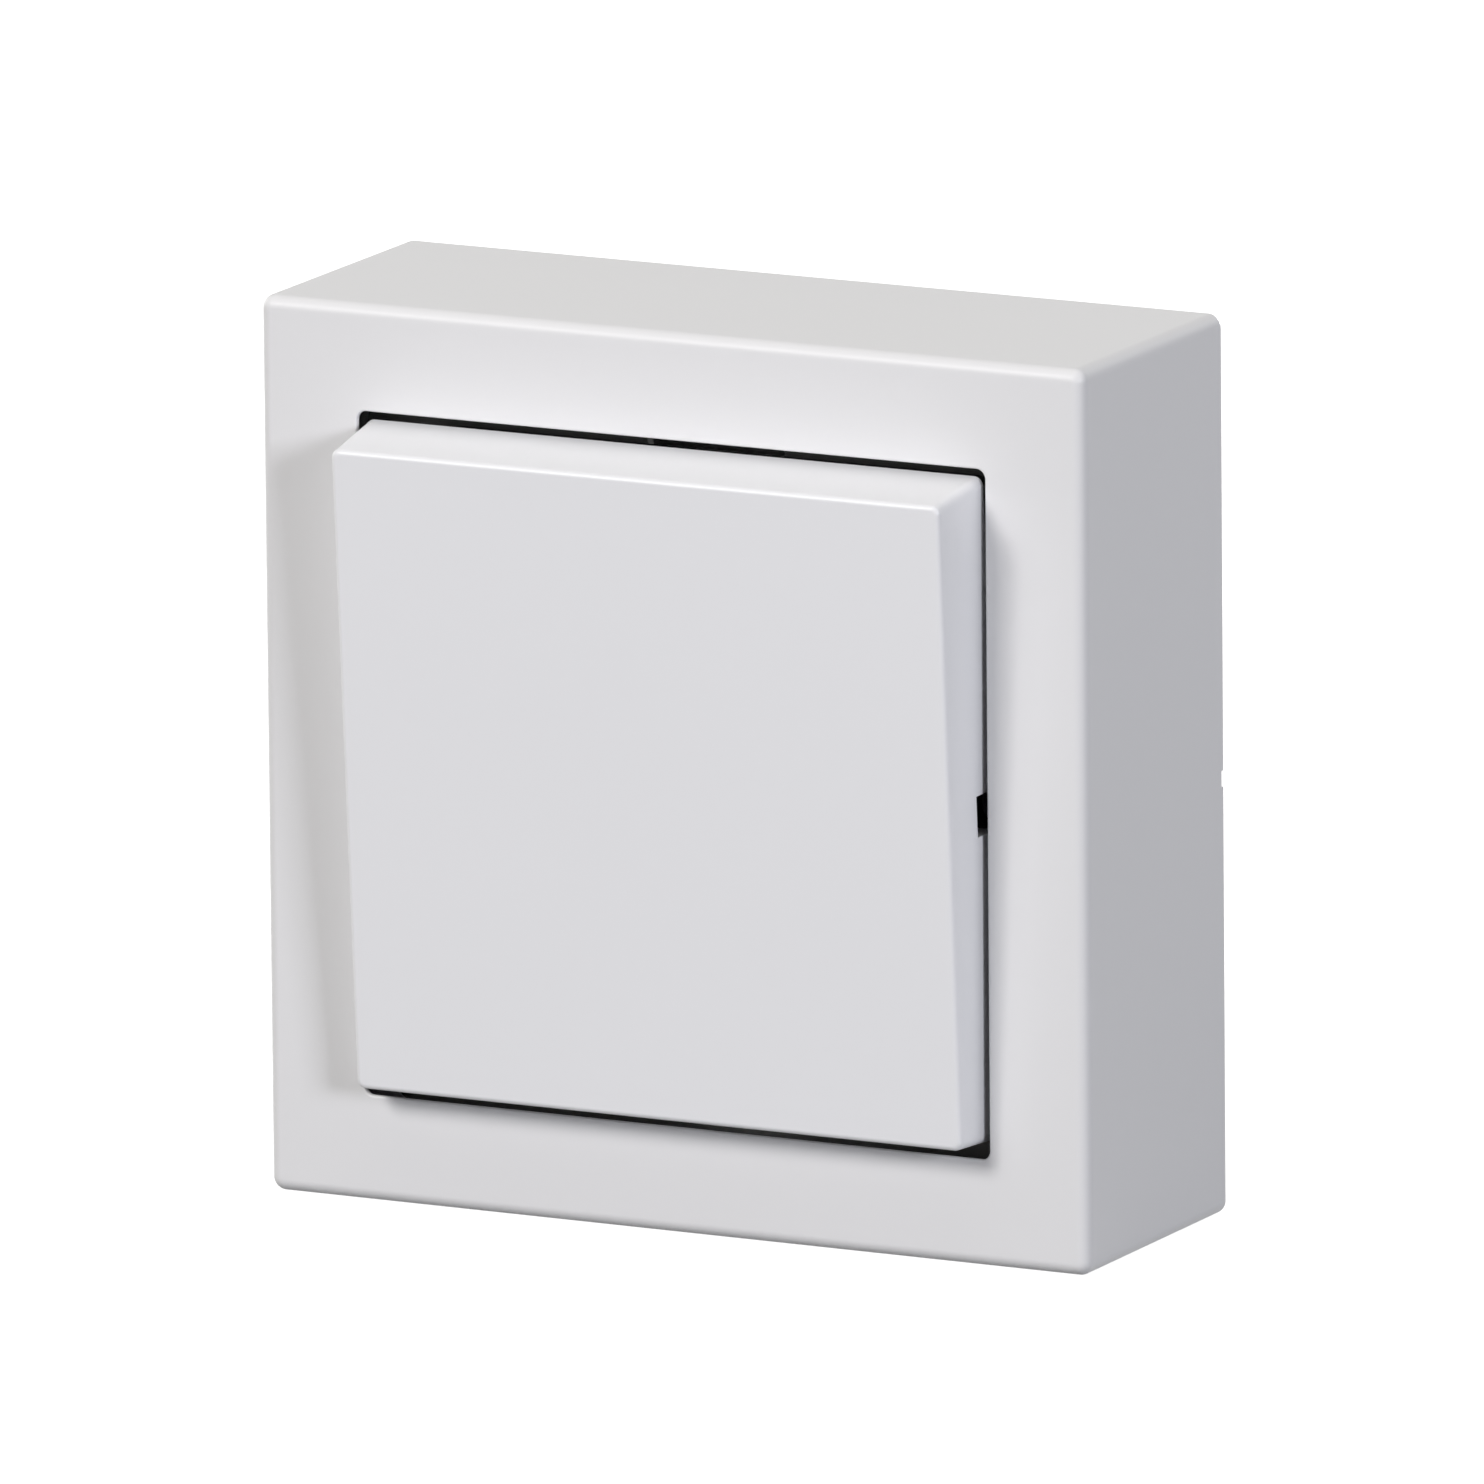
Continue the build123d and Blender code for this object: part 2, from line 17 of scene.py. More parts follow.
import bpy
import numpy as np
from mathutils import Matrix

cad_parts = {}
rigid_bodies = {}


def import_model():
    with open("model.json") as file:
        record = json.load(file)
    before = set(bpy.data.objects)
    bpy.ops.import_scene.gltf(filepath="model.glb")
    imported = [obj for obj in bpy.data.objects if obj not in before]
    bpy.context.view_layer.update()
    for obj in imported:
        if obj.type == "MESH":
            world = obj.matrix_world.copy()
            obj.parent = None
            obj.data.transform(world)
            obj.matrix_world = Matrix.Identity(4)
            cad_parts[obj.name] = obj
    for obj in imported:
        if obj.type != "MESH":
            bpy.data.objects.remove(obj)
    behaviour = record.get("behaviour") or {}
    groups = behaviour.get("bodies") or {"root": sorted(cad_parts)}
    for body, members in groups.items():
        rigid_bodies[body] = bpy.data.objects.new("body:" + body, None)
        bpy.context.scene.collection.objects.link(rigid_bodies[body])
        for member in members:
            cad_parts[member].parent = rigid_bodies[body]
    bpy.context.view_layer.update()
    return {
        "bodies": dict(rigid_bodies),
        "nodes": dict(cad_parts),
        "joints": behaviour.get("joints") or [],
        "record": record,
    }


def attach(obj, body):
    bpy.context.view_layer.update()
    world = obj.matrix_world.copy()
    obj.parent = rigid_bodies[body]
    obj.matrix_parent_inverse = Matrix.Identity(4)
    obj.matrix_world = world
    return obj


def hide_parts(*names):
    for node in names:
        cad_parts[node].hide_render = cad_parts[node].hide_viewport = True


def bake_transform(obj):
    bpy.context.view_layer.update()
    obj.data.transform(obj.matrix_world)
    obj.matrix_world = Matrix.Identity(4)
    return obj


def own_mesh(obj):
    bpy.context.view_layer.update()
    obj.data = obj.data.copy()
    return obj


MM = 0.001
SHARP_ANGLE = 40.0  # degrees above which an edge stays sharp
SUPPORT = 0.08  # distance from a rounded edge to the ring or station that keeps its flat in shape
FLANK = 0.03  # width of the steep sides of a nick or notch
LOG = logging.getLogger("light_switch")
Array = np.ndarray
Faces = list[list[int]]
Mesh = tuple[Array, Faces]
Triple = tuple[float, float, float]


class Body(Enum):
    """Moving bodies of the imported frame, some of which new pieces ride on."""

    CASE = "case"
    KEY = "key"
    COMMON_BUTTON = "common_button"
    UPPER_BUTTON = "upper_button"
    LOWER_BUTTON = "lower_button"


# Mesh helpers


def rounded_arc(radius: float, start: float, stop: float, steps: int) -> tuple[Array, Array]:
    """Points of an arc: radius times cosine and sine, in even steps from start to stop degrees."""
    angle = np.radians(np.linspace(start, stop, steps + 1))
    return radius * np.cos(angle), radius * np.sin(angle)


@dataclass
class RingStack:
    """Rounded rectangles stacked along a profile, the grid that a moulded shell is made of.

    Attributes:
        half_x: Half width of each ring.
        half_z: Half height of each ring.
        corner: Corner radius of each ring.
        depth_side: Distance in front of the wall on the left and right sides.
        depth_end: Distance in front of the wall on the top and bottom sides.
        marks: Stations on the left and right sides, measured up from the middle.
        corner_steps: Steps round each corner.
        margin: Distance of the support stations from each corner.
    """

    half_x: Array
    half_z: Array
    corner: Array
    depth_side: Array
    depth_end: Array
    marks: Array
    corner_steps: int = 10
    margin: float = SUPPORT

    def columns(self, half: Array, marks: Array) -> Array:
        """Stations along one straight side of every ring, with the marks between two near its ends.

        Args:
            half: Half length of the straight side for each ring.
            marks: Places of the marks along the side.

        Returns:
            An array of one row per ring and one column per station.
        """
        inner = np.broadcast_to(marks, (len(half), len(marks)))
        ends = (half - self.margin)[:, None]
        return np.hstack([-ends, inner, ends])

    def points(self) -> tuple[Array, Array, Array, Array]:
        """Place every grid point, going round each ring from the lower right corner upwards.

        A straight side keeps one coordinate at its half size. A corner point is the corner's
        centre plus its radius times the cosine and sine of an angle, and its depth goes from
        the side's to the end's with the square of the sine.

        Returns:
            x, depth and z of each point, rings by stations, and a flag that is true for the
            stations on the left and right sides.
        """
        lx = self.half_x - self.corner
        lz = self.half_z - self.corner
        up = self.columns(lz, self.marks)
        across = self.columns(lx, np.zeros(0))
        xs, ds, zs, flags = [], [], [], []
        signs = ((1, 1), (-1, 1), (-1, -1), (1, -1))
        for quarter, (sx, sz) in enumerate(signs):
            if quarter % 2 == 0:
                zs.append(up * sx)
                xs.append(np.broadcast_to(sx * self.half_x[:, None], up.shape))
                ds.append(np.broadcast_to(self.depth_side[:, None], up.shape))
            else:
                xs.append(-across * sz)
                zs.append(np.broadcast_to(sz * self.half_z[:, None], across.shape))
                ds.append(np.broadcast_to(self.depth_end[:, None], across.shape))
            flags.append(np.full(xs[-1].shape[1], quarter % 2 == 0))
            angle = np.linspace(0, np.pi / 2, self.corner_steps + 1) + quarter * np.pi / 2
            cos, sin = np.cos(angle), np.sin(angle)
            xs.append(sx * lx[:, None] + self.corner[:, None] * cos)
            zs.append(sz * lz[:, None] + self.corner[:, None] * sin)
            ds.append(self.depth_side[:, None] * cos**2 + self.depth_end[:, None] * sin**2)
            flags.append(np.zeros(len(angle), bool))
        return np.hstack(xs), np.hstack(ds), np.hstack(zs), np.concatenate(flags)


def grid_faces(rings: int, stations: int, closed: bool) -> Faces:
    """Quads between neighbouring rings, wrapped round each ring.

    Args:
        rings: Number of rings.
        stations: Number of points on a ring.
        closed: True if the last ring joins the first.

    Returns:
        Four point numbers of each face.
    """
    row = np.arange(rings if closed else rings - 1)[:, None]
    col = np.arange(stations)
    here, ahead = row * stations, (row + 1) % rings * stations
    turn = (col + 1) % stations
    quads = np.stack([here + col, here + turn, ahead + turn, ahead + col], -1)
    return quads.reshape(-1, 4).tolist()


def capped_tube(rings: int, stations: int) -> Faces:
    """Faces of a tube: quads between its rings and one flat face on each end."""
    ends = [list(range(stations))[::-1], list(range((rings - 1) * stations, rings * stations))]
    return grid_faces(rings, stations, closed=False) + ends


def bevelled_block(first: Triple, last: Triple, bevel: float) -> Mesh:
    """A small moulded block: four rectangles stacked along Y, the outer two drawn in.

    Args:
        first: One corner as x, y and z.
        last: The corner across from it.
        bevel: Width of the bevel.

    Returns:
        Points and faces of the closed block.
    """
    low, high = np.minimum(first, last), np.maximum(first, last)
    centre = (low + high) / 2
    half = (high - low) / 2
    inset = np.array([bevel, 0.0, 0.0, bevel])
    level = np.array([-half[1], bevel - half[1], half[1] - bevel, half[1]])
    x = centre[0] + (half[0] - inset)[:, None] * np.array([-1, 1, 1, -1])
    z = centre[2] + (half[2] - inset)[:, None] * np.array([-1, -1, 1, 1])
    y = centre[1] + np.broadcast_to(level[:, None], x.shape)
    return np.stack([x, y, z], -1).reshape(-1, 3), capped_tube(*x.shape)


def outward(points: Array, faces: Faces) -> Faces:
    """Turn the faces of a closed mesh round if they point inwards.

    They do if its volume, a sixth of the summed triple products of its fan triangles, is negative.

    Args:
        points: Corner points.
        faces: Point numbers of each face.

    Returns:
        The faces, pointing outwards.
    """
    fans = np.array([(f[0], f[i], f[i + 1]) for f in faces for i in range(1, len(f) - 1)])
    a, b, c = (points[fans[:, i]] for i in range(3))
    volume = np.einsum("ij,ij->i", a, np.cross(b, c)).sum() / 6
    return [f[::-1] for f in faces] if volume < 0 else faces


def join_parts(parts: list[Mesh]) -> Mesh:
    """Put several closed meshes into one, each turned outwards first.

    Args:
        parts: Points and faces of each mesh.

    Returns:
        Points and faces of all of them together.
    """
    points, faces, count = [], [], 0
    for part_points, part_faces in parts:
        faces += [[i + count for i in f] for f in outward(part_points, part_faces)]
        points.append(part_points)
        count += len(part_points)
    return np.vstack(points), faces


def add_object(name: str, data: bpy.types.ID) -> bpy.types.Object:
    """Put a mesh, lamp or camera into the scene, at the origin.

    Args:
        name: Name of the object.
        data: What the object shows.

    Returns:
        The new object.
    """
    obj = bpy.data.objects.new(name, data)
    bpy.context.scene.collection.objects.link(obj)
    return obj


def make_object(name: str, points: Array, faces: Faces) -> bpy.types.Object:
    """Make a smooth-shaded object from points in millimetres, with its faces pointing outwards.

    Args:
        name: Name of the object and of its mesh.
        points: Corner points as x, y and z.
        faces: Point numbers of each face.

    Returns:
        The new object, at the origin.
    """
    mesh = bpy.data.meshes.new(name)
    mesh.from_pydata(points * MM, [], outward(points, faces))
    mesh.polygons.foreach_set("use_smooth", np.ones(len(mesh.polygons), bool))
    mesh.set_sharp_from_angle(angle=math.radians(SHARP_ANGLE))
    mesh.update()
    return add_object(name, mesh)


# Finishes


@dataclass
class NodeSpace:
    """A node tree with short calls to place and feed its nodes.

    Attributes:
        tree: Tree that nodes are added to.
        count: Number of nodes added so far.
        step: Distance between nodes in the editor.
    """

    tree: bpy.types.NodeTree
    count: int = 0
    step: int = 180

    @classmethod
    def fresh(cls, owner: bpy.types.Material | bpy.types.World) -> NodeSpace:
        """Turn on the nodes of a material or world and clear them.

        Args:
            owner: The material or world.

        Returns:
            The space of its empty tree.
        """
        owner.use_nodes = True
        owner.node_tree.nodes.clear()
        return cls(owner.node_tree)

    def add(self, kind: str, feeds: dict | None = None, **values: object) -> bpy.types.Node:
        """Add a node, set its properties, feed its inputs and step to the right.

        Args:
            kind: Blender's name of the node type.
            feeds: Socket or plain value for each input, by the input's name or number.
            **values: Properties of the node.

        Returns:
            The new node.
        """
        node = self.tree.nodes.new(kind)
        for key, value in values.items():
            setattr(node, key, value)
        for key, value in (feeds or {}).items():
            if isinstance(value, bpy.types.NodeSocket):
                self.tree.links.new(value, node.inputs[key])
            else:
                node.inputs[key].default_value = value
        node.location = (self.step * self.count, 0)
        self.count += 1
        return node

    def math(self, operation: str, first: object, second: object) -> bpy.types.NodeSocket:
        """Result of a Math node whose inputs are sockets or plain numbers."""
        return self.add("ShaderNodeMath", {0: first, 1: second}, operation=operation).outputs[0]

    def noise(self, vector: object, scale: object, detail: float,
              weight: float) -> bpy.types.NodeSocket:
        """Value of a noise texture with a number of octaves and a weight of the finer ones."""
        feeds = {"Vector": vector, "Scale": scale, "Detail": detail, "Roughness": weight}
        return self.add("ShaderNodeTexNoise", feeds).outputs["Fac"]


@dataclass(frozen=True)
class Pattern:
    """Surface pattern that a family of finishes shares: slow clouds and a fine grain.

    Attributes:
        name: Name of the shader group.
        stretch: Scale of the grain along each axis, uneven for drawn lines.
        slow: Scale, octaves and weight of the finer octaves of the clouds.
        fine: Octaves and weight of the finer octaves of the grain.
        middle: Value of both noises at which they leave the roughness as it is.
        slow_gloss: Roughness that the clouds add.
        fine_gloss: Roughness that the grain adds.
    """

    name: str
    stretch: Triple
    slow: Triple
    fine: tuple[float, float]
    middle: float
    slow_gloss: float
    fine_gloss: float

    def build(self) -> bpy.types.NodeTree:
        """Make the shader group.

        The colour is scaled by one plus Variation times the clouds' distance from one half. The
        roughness is shifted by each noise's distance from its middle times its gloss. The height
        is the grain times Grain Depth.

        Returns:
            The group, with Color, Roughness and Height outputs.
        """
        tree = bpy.data.node_groups.new(self.name, "ShaderNodeTree")
        inputs = ("Color", "Variation", "Roughness", "Grain Scale", "Grain Depth")
        for side, labels in (("INPUT", inputs), ("OUTPUT", ("Color", "Roughness", "Height"))):
            for label in labels:
                kind = "NodeSocketColor" if label == "Color" else "NodeSocketFloat"
                tree.interface.new_socket(name=label, in_out=side, socket_type=kind)
        space = NodeSpace(tree)
        given = space.add("NodeGroupInput").outputs
        place = space.add("ShaderNodeTexCoord").outputs["Object"]
        drawn = space.add("ShaderNodeMapping", {"Vector": place, "Scale": self.stretch}).outputs[0]
        slow = space.noise(place, *self.slow)
        fine = space.noise(drawn, given["Grain Scale"], *self.fine)
        drift = space.math("MULTIPLY", space.math("SUBTRACT", slow, 0.5), given["Variation"])
        factor = space.math("ADD", drift, 1.0)
        colour = space.add(
            "ShaderNodeVectorMath", {0: given["Color"], "Scale": factor}, operation="SCALE")
        gloss = given["Roughness"]
        for noise, amount in ((fine, self.fine_gloss), (slow, self.slow_gloss)):
            shift = space.math("MULTIPLY", space.math("SUBTRACT", noise, self.middle), amount)
            gloss = space.math("ADD", gloss, shift)
        height = space.math("MULTIPLY", fine, given["Grain Depth"])
        space.add("NodeGroupOutput", {
            "Color": colour.outputs[0], "Roughness": gloss, "Height": height})
        return tree


class Kind(Enum):
    """Families of finish, each with its own surface pattern."""

    MOULDED = Pattern(
        "moulded_plastic", (1.0, 1.0, 1.0), (38.0, 3.0, 0.5), (2.0, 0.6), 0.5, 0.08, 0.06)
    METAL = Pattern(
        "worked_metal", (0.06, 1.0, 1.0), (160.0, 4.0, 0.55), (4.0, 0.6), 0.0, 0.12, 0.18)


@dataclass(frozen=True)
class Finish:
    """One surface finish of the switch.

    Attributes:
        name: Name of the material.
        kind: Family whose shader group it uses.
        colour: Base colour, linear.
        roughness: Middle roughness.
        variation: Strength of the slow colour variation.
        grain_scale: Scale of the fine grain or of the drawn lines.
        grain_depth: Strength of the grain in the surface.
        specular: Strength of the mirrored light, 0.5 for plain plastic.
        bump_strength: Share of the grain's height that shows.
        bump_height: Height of the grain in metres.
    """

    name: str
    kind: Kind
    colour: Triple
    roughness: float
    variation: float
    grain_scale: float
    grain_depth: float
    specular: float = 0.5
    bump_strength: float = 0.08
    bump_height: float = 0.00004

    def build(self, groups: dict[Kind, bpy.types.NodeTree]) -> bpy.types.Material:
        """Make the material around the family's shared group.

        Args:
            groups: Shader group of each family.

        Returns:
            The new material.
        """
        material = bpy.data.materials.new(self.name)
        space = NodeSpace.fresh(material)
        pattern = space.add("ShaderNodeGroup", {
            "Color": (*self.colour, 1.0),
            "Variation": self.variation,
            "Roughness": self.roughness,
            "Grain Scale": self.grain_scale,
            "Grain Depth": self.grain_depth,
        }, node_tree=groups[self.kind])
        bump = space.add("ShaderNodeBump", {
            "Strength": self.bump_strength,
            "Distance": self.bump_height,
            "Height": pattern.outputs["Height"],
        })
        shader = space.add("ShaderNodeBsdfPrincipled", {
            "Base Color": pattern.outputs["Color"],
            "Roughness": pattern.outputs["Roughness"],
            "Metallic": float(self.kind is Kind.METAL),
            "Specular IOR Level": self.specular,
            "Normal": bump.outputs["Normal"],
        })
        space.add("ShaderNodeOutputMaterial", {"Surface": shader.outputs["BSDF"]})
        return material


def moulded(name: str, colour: Triple, *values: float) -> Finish:
    """A moulded plastic finish."""
    return Finish(name, Kind.MOULDED, colour, *values)


def metal(name: str, colour: Triple, *values: float) -> Finish:
    """A worked metal finish."""
    return Finish(name, Kind.METAL, colour, *values)


@dataclass
class Palette:
    """All finishes of the switch and the materials made from them.

    Attributes:
        finishes: Finish of each material slot of the frame.
        materials: Material of each slot, once built.
    """

    finishes: dict[str, Finish] = field(default_factory=lambda: {
        "white_shell": moulded(
            "satin_white_shell", (0.80, 0.80, 0.81), 0.38, 0.015, 4200.0, 0.3, 0.22),
        # The key's white is lighter and bluer than the shell's: partly its own plastic, partly
        # painted light that brightens its top bevel and side walls.
        "white_key": moulded("white_key_plastic_and_painted_light", (0.835, 0.84, 0.86), 0.38, 0.015, 4200.0, 0.25),
        "white_base": moulded("fine_grain_base", (0.78, 0.78, 0.775), 0.55, 0.04, 1500.0, 1.0),
        "plate_steel": metal("passivated_plate", (0.27, 0.265, 0.26), 0.36, 0.25, 700.0, 0.4),
        "screw_steel": metal("zinc_screw", (0.60, 0.61, 0.63), 0.20, 0.15, 1200.0, 0.3),
        "rivet_steel": metal("plain_rivet", (0.52, 0.53, 0.55), 0.22, 0.2, 1200.0, 0.3),
        "housing_grey": moulded("dark_housing", (0.022, 0.022, 0.024), 0.50, 0.25, 1600.0, 0.8),
        "cover_grey": moulded("grey_cover", (0.075, 0.075, 0.08), 0.48, 0.15, 1600.0, 0.7),
        "cradle_grey": moulded("grey_cradle", (0.15, 0.15, 0.155), 0.45, 0.12, 1800.0, 0.6),
        "plunger_black": moulded("black_plunger", (0.008, 0.008, 0.008), 0.30, 0.2, 2400.0, 0.3),
        "spring_steel": metal("drawn_spring", (0.46, 0.47, 0.50), 0.20, 0.2, 1500.0, 0.3),
        "lever_brass": metal("rolled_brass_lever", (0.60, 0.35, 0.09), 0.20, 0.25, 900.0, 0.3),
        "terminal_brass": metal("rolled_brass_strip", (0.57, 0.32, 0.08), 0.24, 0.3, 900.0, 0.3),
        "contact_silver": metal("silver_tip", (0.72, 0.71, 0.68), 0.14, 0.12, 1600.0, 0.2),
        "release_orange": moulded("orange_button", (0.55, 0.11, 0.015), 0.42, 0.1, 2000.0, 0.5),
    })
    materials: dict[str, bpy.types.Material] = field(default_factory=dict)

    def build(self) -> None:
        """Make the shared groups once and every material from them."""
        groups = {kind: kind.value.build() for kind in Kind}
        self.materials = {slot: finish.build(groups) for slot, finish in self.finishes.items()}

    def dress(self, obj: bpy.types.Object, slot: str) -> None:
        """Give an object one finish over all its faces and name its slot.

        Args:
            obj: Object to dress.
            slot: Material slot of the frame.
        """
        obj.data.materials.clear()
        obj.data.materials.append(self.materials[slot])


# Pieces of the switch


@dataclass
class Surround:
    """Deep white shell around the rocker, in one moulding with its front.

    Attributes:
        side: Outer width and height.
        depth: Distance of the front face from the wall.
        wall: Thickness of the sides.
        front_wall: Thickness of the front.
        edge_round: Radius of the outer front edges.
        edge_steps: Steps round the outer front edges.
        corner_round: Radius of the four edges that run towards the wall.
        flat_corner: Corner radius of the ring where the front's flat starts.
        rear_round: Radius of the outer edge at the wall.
        rim_steps: Steps round the rear edge and the opening's front edge.
        inner_round: Radius of the inner corners.
        opening: Width and height of the front opening.
        opening_round: Corner radius of the opening.
        lip_round: Radius of the opening's front edge.
        lip_land: Depth of the opening's straight edge, before it is relieved from behind.
        nick_width: Height of the pry nick in the rear edges.
        nick_depth: Depth of the pry nick.
        nick_drop: Distance of the nick below the middle.
        nick_reach: Distance from the wall where the nick has run out.
        catch_reach: Distance that a snap rib stands in from the side.
        catch_root: Overlap of a snap rib with the side.
        catch_span: Distances of a snap rib's rear and front from the rear edge.
        catch_half: Half height of a snap rib.
        catch_bevel: Bevel of a snap rib.
    """

    side: float = 83.0
    depth: float = 28.3
    wall: float = 2.0
    front_wall: float = 1.4
    edge_round: float = 1.2
    edge_steps: int = 12
    corner_round: float = 1.28
    flat_corner: float = 0.09
    rear_round: float = 0.4
    rim_steps: int = 5
    inner_round: float = 1.0
    opening: float = 63.3
    opening_round: float = 0.9
    lip_round: float = 0.2
    lip_land: float = 0.5
    nick_width: float = 1.5
    nick_depth: float = 0.35
    nick_drop: float = 1.2
    nick_reach: float = 2.4
    catch_reach: float = 0.8
    catch_root: float = 0.3
    catch_span: tuple[float, float] = (2.35, 3.75)
    catch_half: float = 5.0
    catch_bevel: float = 0.15

    @staticmethod
    def bend(centre: Triple, radius: float, start: float, steps: int) -> Array:
        """Rings of a quarter round: half size and corner radius go with cosine, depth with sine."""
        cos, sin = rounded_arc(radius, start, start + 90, steps)
        return np.array(centre) + np.stack([cos, cos, sin], 1)

    def profile(self) -> Array:
        """Section of the wall, from the rear edge forwards outside and back again inside.

        Returns:
            Half size, corner radius and depth of each ring, one row per ring.
        """
        front, corner, land = self.depth, self.corner_round, self.opening_round
        rear, edge, lip = self.rear_round, self.edge_round, self.lip_round
        out, hole = self.side / 2, self.opening / 2
        inside, back = out - self.wall, front - self.front_wall
        relief = self.front_wall - self.lip_land
        return np.vstack([
            self.bend((out - rear, corner - rear, rear), rear, 270, self.rim_steps),
            (out, corner, rear + SUPPORT),
            (out, corner, self.nick_reach),
            (out, corner, front - edge - SUPPORT),
            self.bend((out - edge, corner - edge, front - edge), edge, 0, self.edge_steps),
            (out - edge - SUPPORT, self.flat_corner, front),
            (hole + lip + SUPPORT, land + lip + SUPPORT, front),
            self.bend((hole + lip, land + lip, front - lip), lip, 90, self.rim_steps),
            (hole, land, front - lip - SUPPORT),
            (hole, land, front - self.lip_land),
            (hole + relief, land + relief, back),
            (inside, self.inner_round, back),
            (inside, self.inner_round, self.nick_reach),
            (inside, self.inner_round, 0.0),
        ])

    def mesh(self) -> Mesh:
        """Carry the section round the square and lower the rear edge at the pry nicks.

        Returns:
            Points and faces of the shell with its two catches.
        """
        half, corner, depth = self.profile().T
        low = -self.nick_drop - self.nick_width / 2
        high = -self.nick_drop + self.nick_width / 2
        marks = np.array([low - FLANK, low, high, high + FLANK])
        x, d, z, sides = RingStack(half, half, corner, depth, depth, marks).points()
        in_nick = sides & (z > low - FLANK / 2) & (z < high + FLANK / 2)
        d = np.where(in_nick & (d < self.nick_reach), d + self.nick_depth, d)
        points = np.stack([x, -d, z], -1).reshape(-1, 3)
        shell = points, grid_faces(*x.shape, closed=True)
        return join_parts([shell, *self.catches()])

    def catches(self) -> list[Mesh]:
        """Snap ribs on the inner left and right walls.

        Returns:
            Points and faces of each rib.
        """
        inner = self.side / 2 - self.wall
        rear, front = self.catch_span
        blocks = []
        for sign in (-1, 1):
            first = (sign * (inner - self.catch_reach), -front, -self.catch_half)
            last = (sign * (inner + self.catch_root), -rear, self.catch_half)
            blocks.append(bevelled_block(first, last, self.catch_bevel))
        return blocks

    def build(self, palette: Palette) -> bpy.types.Object:
        """Make the shell, dress it and put it in the place of its solid.

        Args:
            palette: Finishes of the switch.

        Returns:
            The new piece.
        """
        obj = make_object("surround_shell", *self.mesh())
        palette.dress(obj, "white_shell")
        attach(obj, Body.CASE.value)
        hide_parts("surround")
        return obj


@dataclass(frozen=True)
class KeyPivot:
    """Line along X that the key tilts about, with all that it carries.

    Attributes:
        depth: Distance of the line in front of the wall.
        tilt: Resting tilt in degrees, with the top away from the wall.
    """

    depth: float = 24.3
    tilt: float = 3.5

    def turn(self, points: Array) -> Array:
        """Turn points by the resting tilt, as a plane rotation of y and z about the line.

        Args:
            points: Points as x, y and z.

        Returns:
            The turned points.
        """
        cos, sin = math.cos(math.radians(self.tilt)), math.sin(math.radians(self.tilt))
        y = points[:, 1] + self.depth
        z = points[:, 2]
        return np.stack([points[:, 0], cos * y - sin * z - self.depth, sin * y + cos * z], 1)


@dataclass(frozen=True)
class ClipSet:
    """Clip legs with hooks, and the ribs that bear on the cradle, behind the key's face.

    Attributes:
        pitch: Distance of the legs from the middle, sideways.
        half: Half width of a leg and of its hook.
        leg: Distances of a leg's inner and outer face from the pivot, up or down.
        hook: Distances of a hook's inner and outer face from there.
        end: Distance of the legs' ends from the wall.
        hook_depth: Depth of a hook.
        rib_pitch: Distance of the ribs from the middle, sideways.
        rib_half: Half thickness of a rib.
        rib_reach: Half length of a rib.
        rib_end: Distance of the ribs' ends from the wall.
        root: Overlap with the face.
        bevel: Bevel of every block.
    """

    pitch: float = 6.5
    half: float = 3.0
    leg: tuple[float, float] = (14.12, 15.62)
    hook: tuple[float, float] = (13.0, 14.2)
    end: float = 24.88
    hook_depth: float = 1.0
    rib_pitch: float = 9.5
    rib_half: float = 0.6
    rib_reach: float = 13.0
    rib_end: float = 28.12
    root: float = 0.2
    bevel: float = 0.2

    def blocks(self, inside: float) -> list[Mesh]:
        """Bevelled blocks of the legs, hooks and ribs.

        Args:
            inside: Distance of the face's inner side from the wall.

        Returns:
            Points and faces of each block.
        """
        top = -(inside + self.root)
        hook_top = -(self.end + self.hook_depth)
        spans = []
        for sx in (-1, 1):
            left, right = sx * self.pitch - self.half, sx * self.pitch + self.half
            for sz in (-1, 1):
                for start, (inner, outer) in ((top, self.leg), (hook_top, self.hook)):
                    spans.append(((left, start, sz * inner), (right, -self.end, sz * outer)))
            left, right = sx * self.rib_pitch - self.rib_half, sx * self.rib_pitch + self.rib_half
            spans.append(((left, top, -self.rib_reach), (right, -self.rib_end, self.rib_reach)))
        return [bevelled_block(first, last, self.bevel) for first, last in spans]


